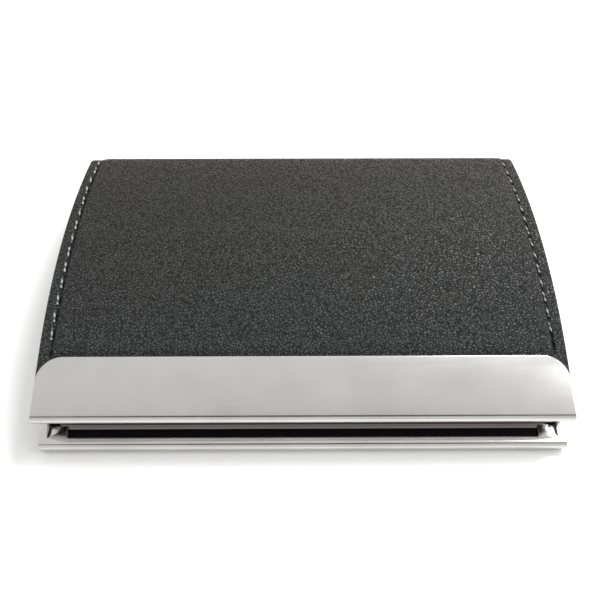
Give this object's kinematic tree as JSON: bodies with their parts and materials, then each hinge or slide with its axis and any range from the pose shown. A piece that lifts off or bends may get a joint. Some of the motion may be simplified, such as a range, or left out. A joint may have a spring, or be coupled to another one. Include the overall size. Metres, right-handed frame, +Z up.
{
  "type": "business card case",
  "caption": "Pocket case for business cards: a steel tray on a leather covered base, with an arched stitched leather lid, a steel front band and a magnet bar that holds it shut.",
  "frame": {"origin": "middle of the flat underside, where the closed case stands", "axes": "+X runs along the hinge, +Y points to the spine at the back, +Z points up out of the lid"},
  "size_m": [0.095, 0.065, 0.0163],
  "materials": {
    "leather": "fine pebble grain, semi matt",
    "thread": "twisted polyester sewing thread",
    "satin_steel": "satin stainless sheet",
    "bar_plastic": "moulded matt plastic",
    "liner": "flocked sheet",
    "lining_fabric": "woven lining",
    "foam": "thin padding",
    "board": "pressed grey board",
    "magnet": "nickel plated magnet"
  },
  "bodies": {
    "base": {"card_tray": "satin_steel", "tray_liner": "liner", "base_board": "board", "bottom_leather": "leather", "bottom_stitching_left": "thread", "bottom_stitching_right": "thread", "spine_leather": "leather", "spine_board": "board", "spine_lining": "lining_fabric", "spine_stitching_left": "thread", "spine_stitching_right": "thread"},
    "lid": {"lid_leather": "leather", "lid_foam": "foam", "lid_board": "board", "lid_lining": "lining_fabric", "lid_stitching_left": "thread", "lid_stitching_right": "thread", "front_band": "satin_steel", "magnet_bar": "bar_plastic", "closing_magnets": "magnet"}
  },
  "joints": [
    {"name": "lid_hinge", "type": "hinge", "parent": "base", "child": "lid", "pos_m": [0, 0.02909, 0.01409], "axis": [-1, 0, 0], "range_deg": [0, 110]}
  ]
}
